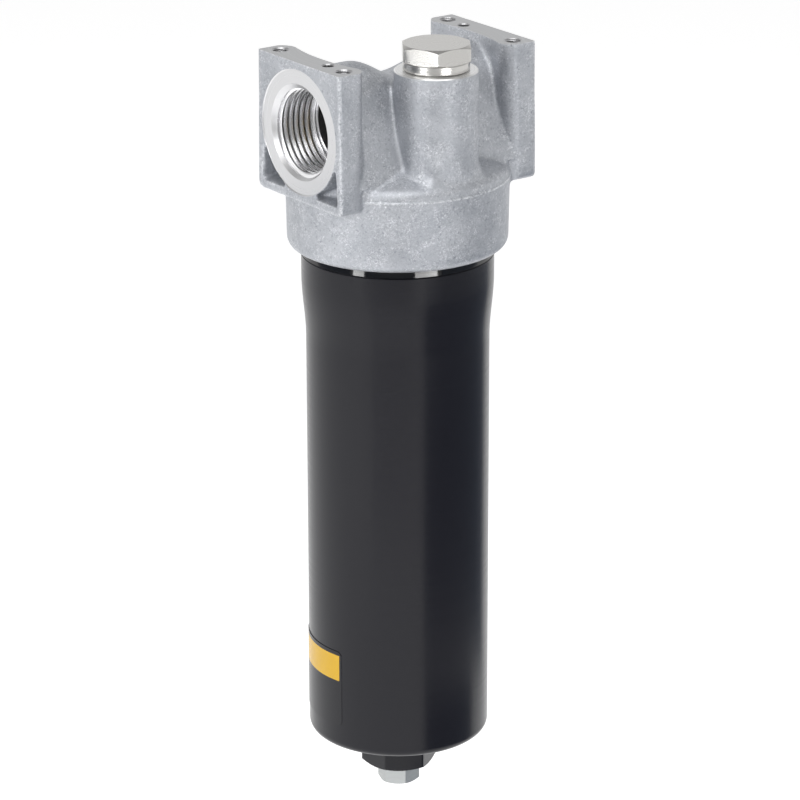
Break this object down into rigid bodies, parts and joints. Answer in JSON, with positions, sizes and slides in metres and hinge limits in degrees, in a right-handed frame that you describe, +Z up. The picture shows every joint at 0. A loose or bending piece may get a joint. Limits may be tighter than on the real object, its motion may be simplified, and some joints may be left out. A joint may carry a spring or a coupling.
{
  "type": "hydraulic medium pressure filter",
  "caption": "Inline hydraulic filter: cast head with flanged threaded ports, long black screw-on bowl, pleated element, sprung bypass valve, drain plug and plugged indicator port.",
  "frame": {"origin": "centre of the mounting holes, on the bowl's axis, in the plane of the tops of the flange plates", "axes": "+Z up along the bowl's axis, out of the mounting face; X along the ports, inlet on the -X side and outlet on the +X side; the indicator boss is on the -Y side"},
  "size_m": [0.087, 0.0818, 0.2946],
  "materials": {
    "cast_aluminium": "as cast, fine mottled grain, machined faces bright",
    "plated_steel": "bright plated, lightly turned",
    "bright_steel": "turned",
    "spring_steel": "drawn wire, oiled",
    "zinc_sheet": "zinc plated sheet",
    "valve_brass": "turned",
    "black_paint": "semi-gloss black over steel",
    "rubber": "smooth, matt",
    "white_plastic": "smooth, matt",
    "label_film": "thin black film with a bare yellow field",
    "filter_medium": "pleated glass-fibre medium between fine meshes"
  },
  "bodies": {
    "head": {"head": "cast_aluminium", "bypass_seat": "valve_brass", "bypass_retainer": "bright_steel", "bypass_circlip": "spring_steel", "bypass_spring": "spring_steel"},
    "bypass": {"bypass_poppet": "bright_steel"},
    "indicator_seal": {"indicator_plug_seal": "rubber"},
    "indicator_plug": {"indicator_plug": "plated_steel"},
    "element": {"element_top_cap": "zinc_sheet", "element_bottom_cap": "zinc_sheet", "element_core_tube": "zinc_sheet", "element_pleats": "filter_medium", "element_bands": "white_plastic", "element_o_ring": "rubber", "bowl_o_ring": "rubber", "bowl_backup_ring": "white_plastic"},
    "bowl": {"bowl": "black_paint", "bowl_label": "label_film"},
    "drain_seal": {"drain_plug_seal": "rubber"},
    "drain_plug": {"drain_plug": "plated_steel"}
  },
  "joints": [
    {"name": "bowl_drop", "type": "slide", "parent": "head", "child": "element", "axis": [0, 0, -1], "range_m": [0, 0.016]},
    {"name": "bowl_turn", "type": "hinge", "parent": "element", "child": "bowl", "pos_m": [0, 0, -0.074], "axis": [0, 0, -1], "range_deg": [0, 2880.05]},
    {"name": "drain_drop", "type": "slide", "parent": "bowl", "child": "drain_seal", "axis": [0, 0, -1], "range_m": [0, 0.00726]},
    {"name": "drain_turn", "type": "hinge", "parent": "drain_seal", "child": "drain_plug", "pos_m": [0, 0, -0.28], "axis": [0, 0, -1], "range_deg": [0, 2880.05]},
    {"name": "indicator_rise", "type": "slide", "parent": "head", "child": "indicator_seal", "axis": [0, 0, 1], "range_m": [0, 0.012]},
    {"name": "indicator_turn", "type": "hinge", "parent": "indicator_seal", "child": "indicator_plug", "pos_m": [0, -0.0235, -0.004], "axis": [0, 0, 1], "range_deg": [0, 2880.05]},
    {"name": "bypass_open", "type": "slide", "parent": "head", "child": "bypass", "axis": [1, 0, 0], "range_m": [0, 0.004], "stiffness_N_per_m": 2000, "springref_m": -0.008, "deforming": ["bypass_spring"]}
  ],
  "couplings": [
    {"joint": "bowl_turn", "follows": "bowl_drop", "rad_per_m": 3141.6},
    {"joint": "drain_turn", "follows": "drain_drop", "rad_per_m": 6927.4},
    {"joint": "indicator_turn", "follows": "indicator_rise", "rad_per_m": 4188.8}
  ]
}
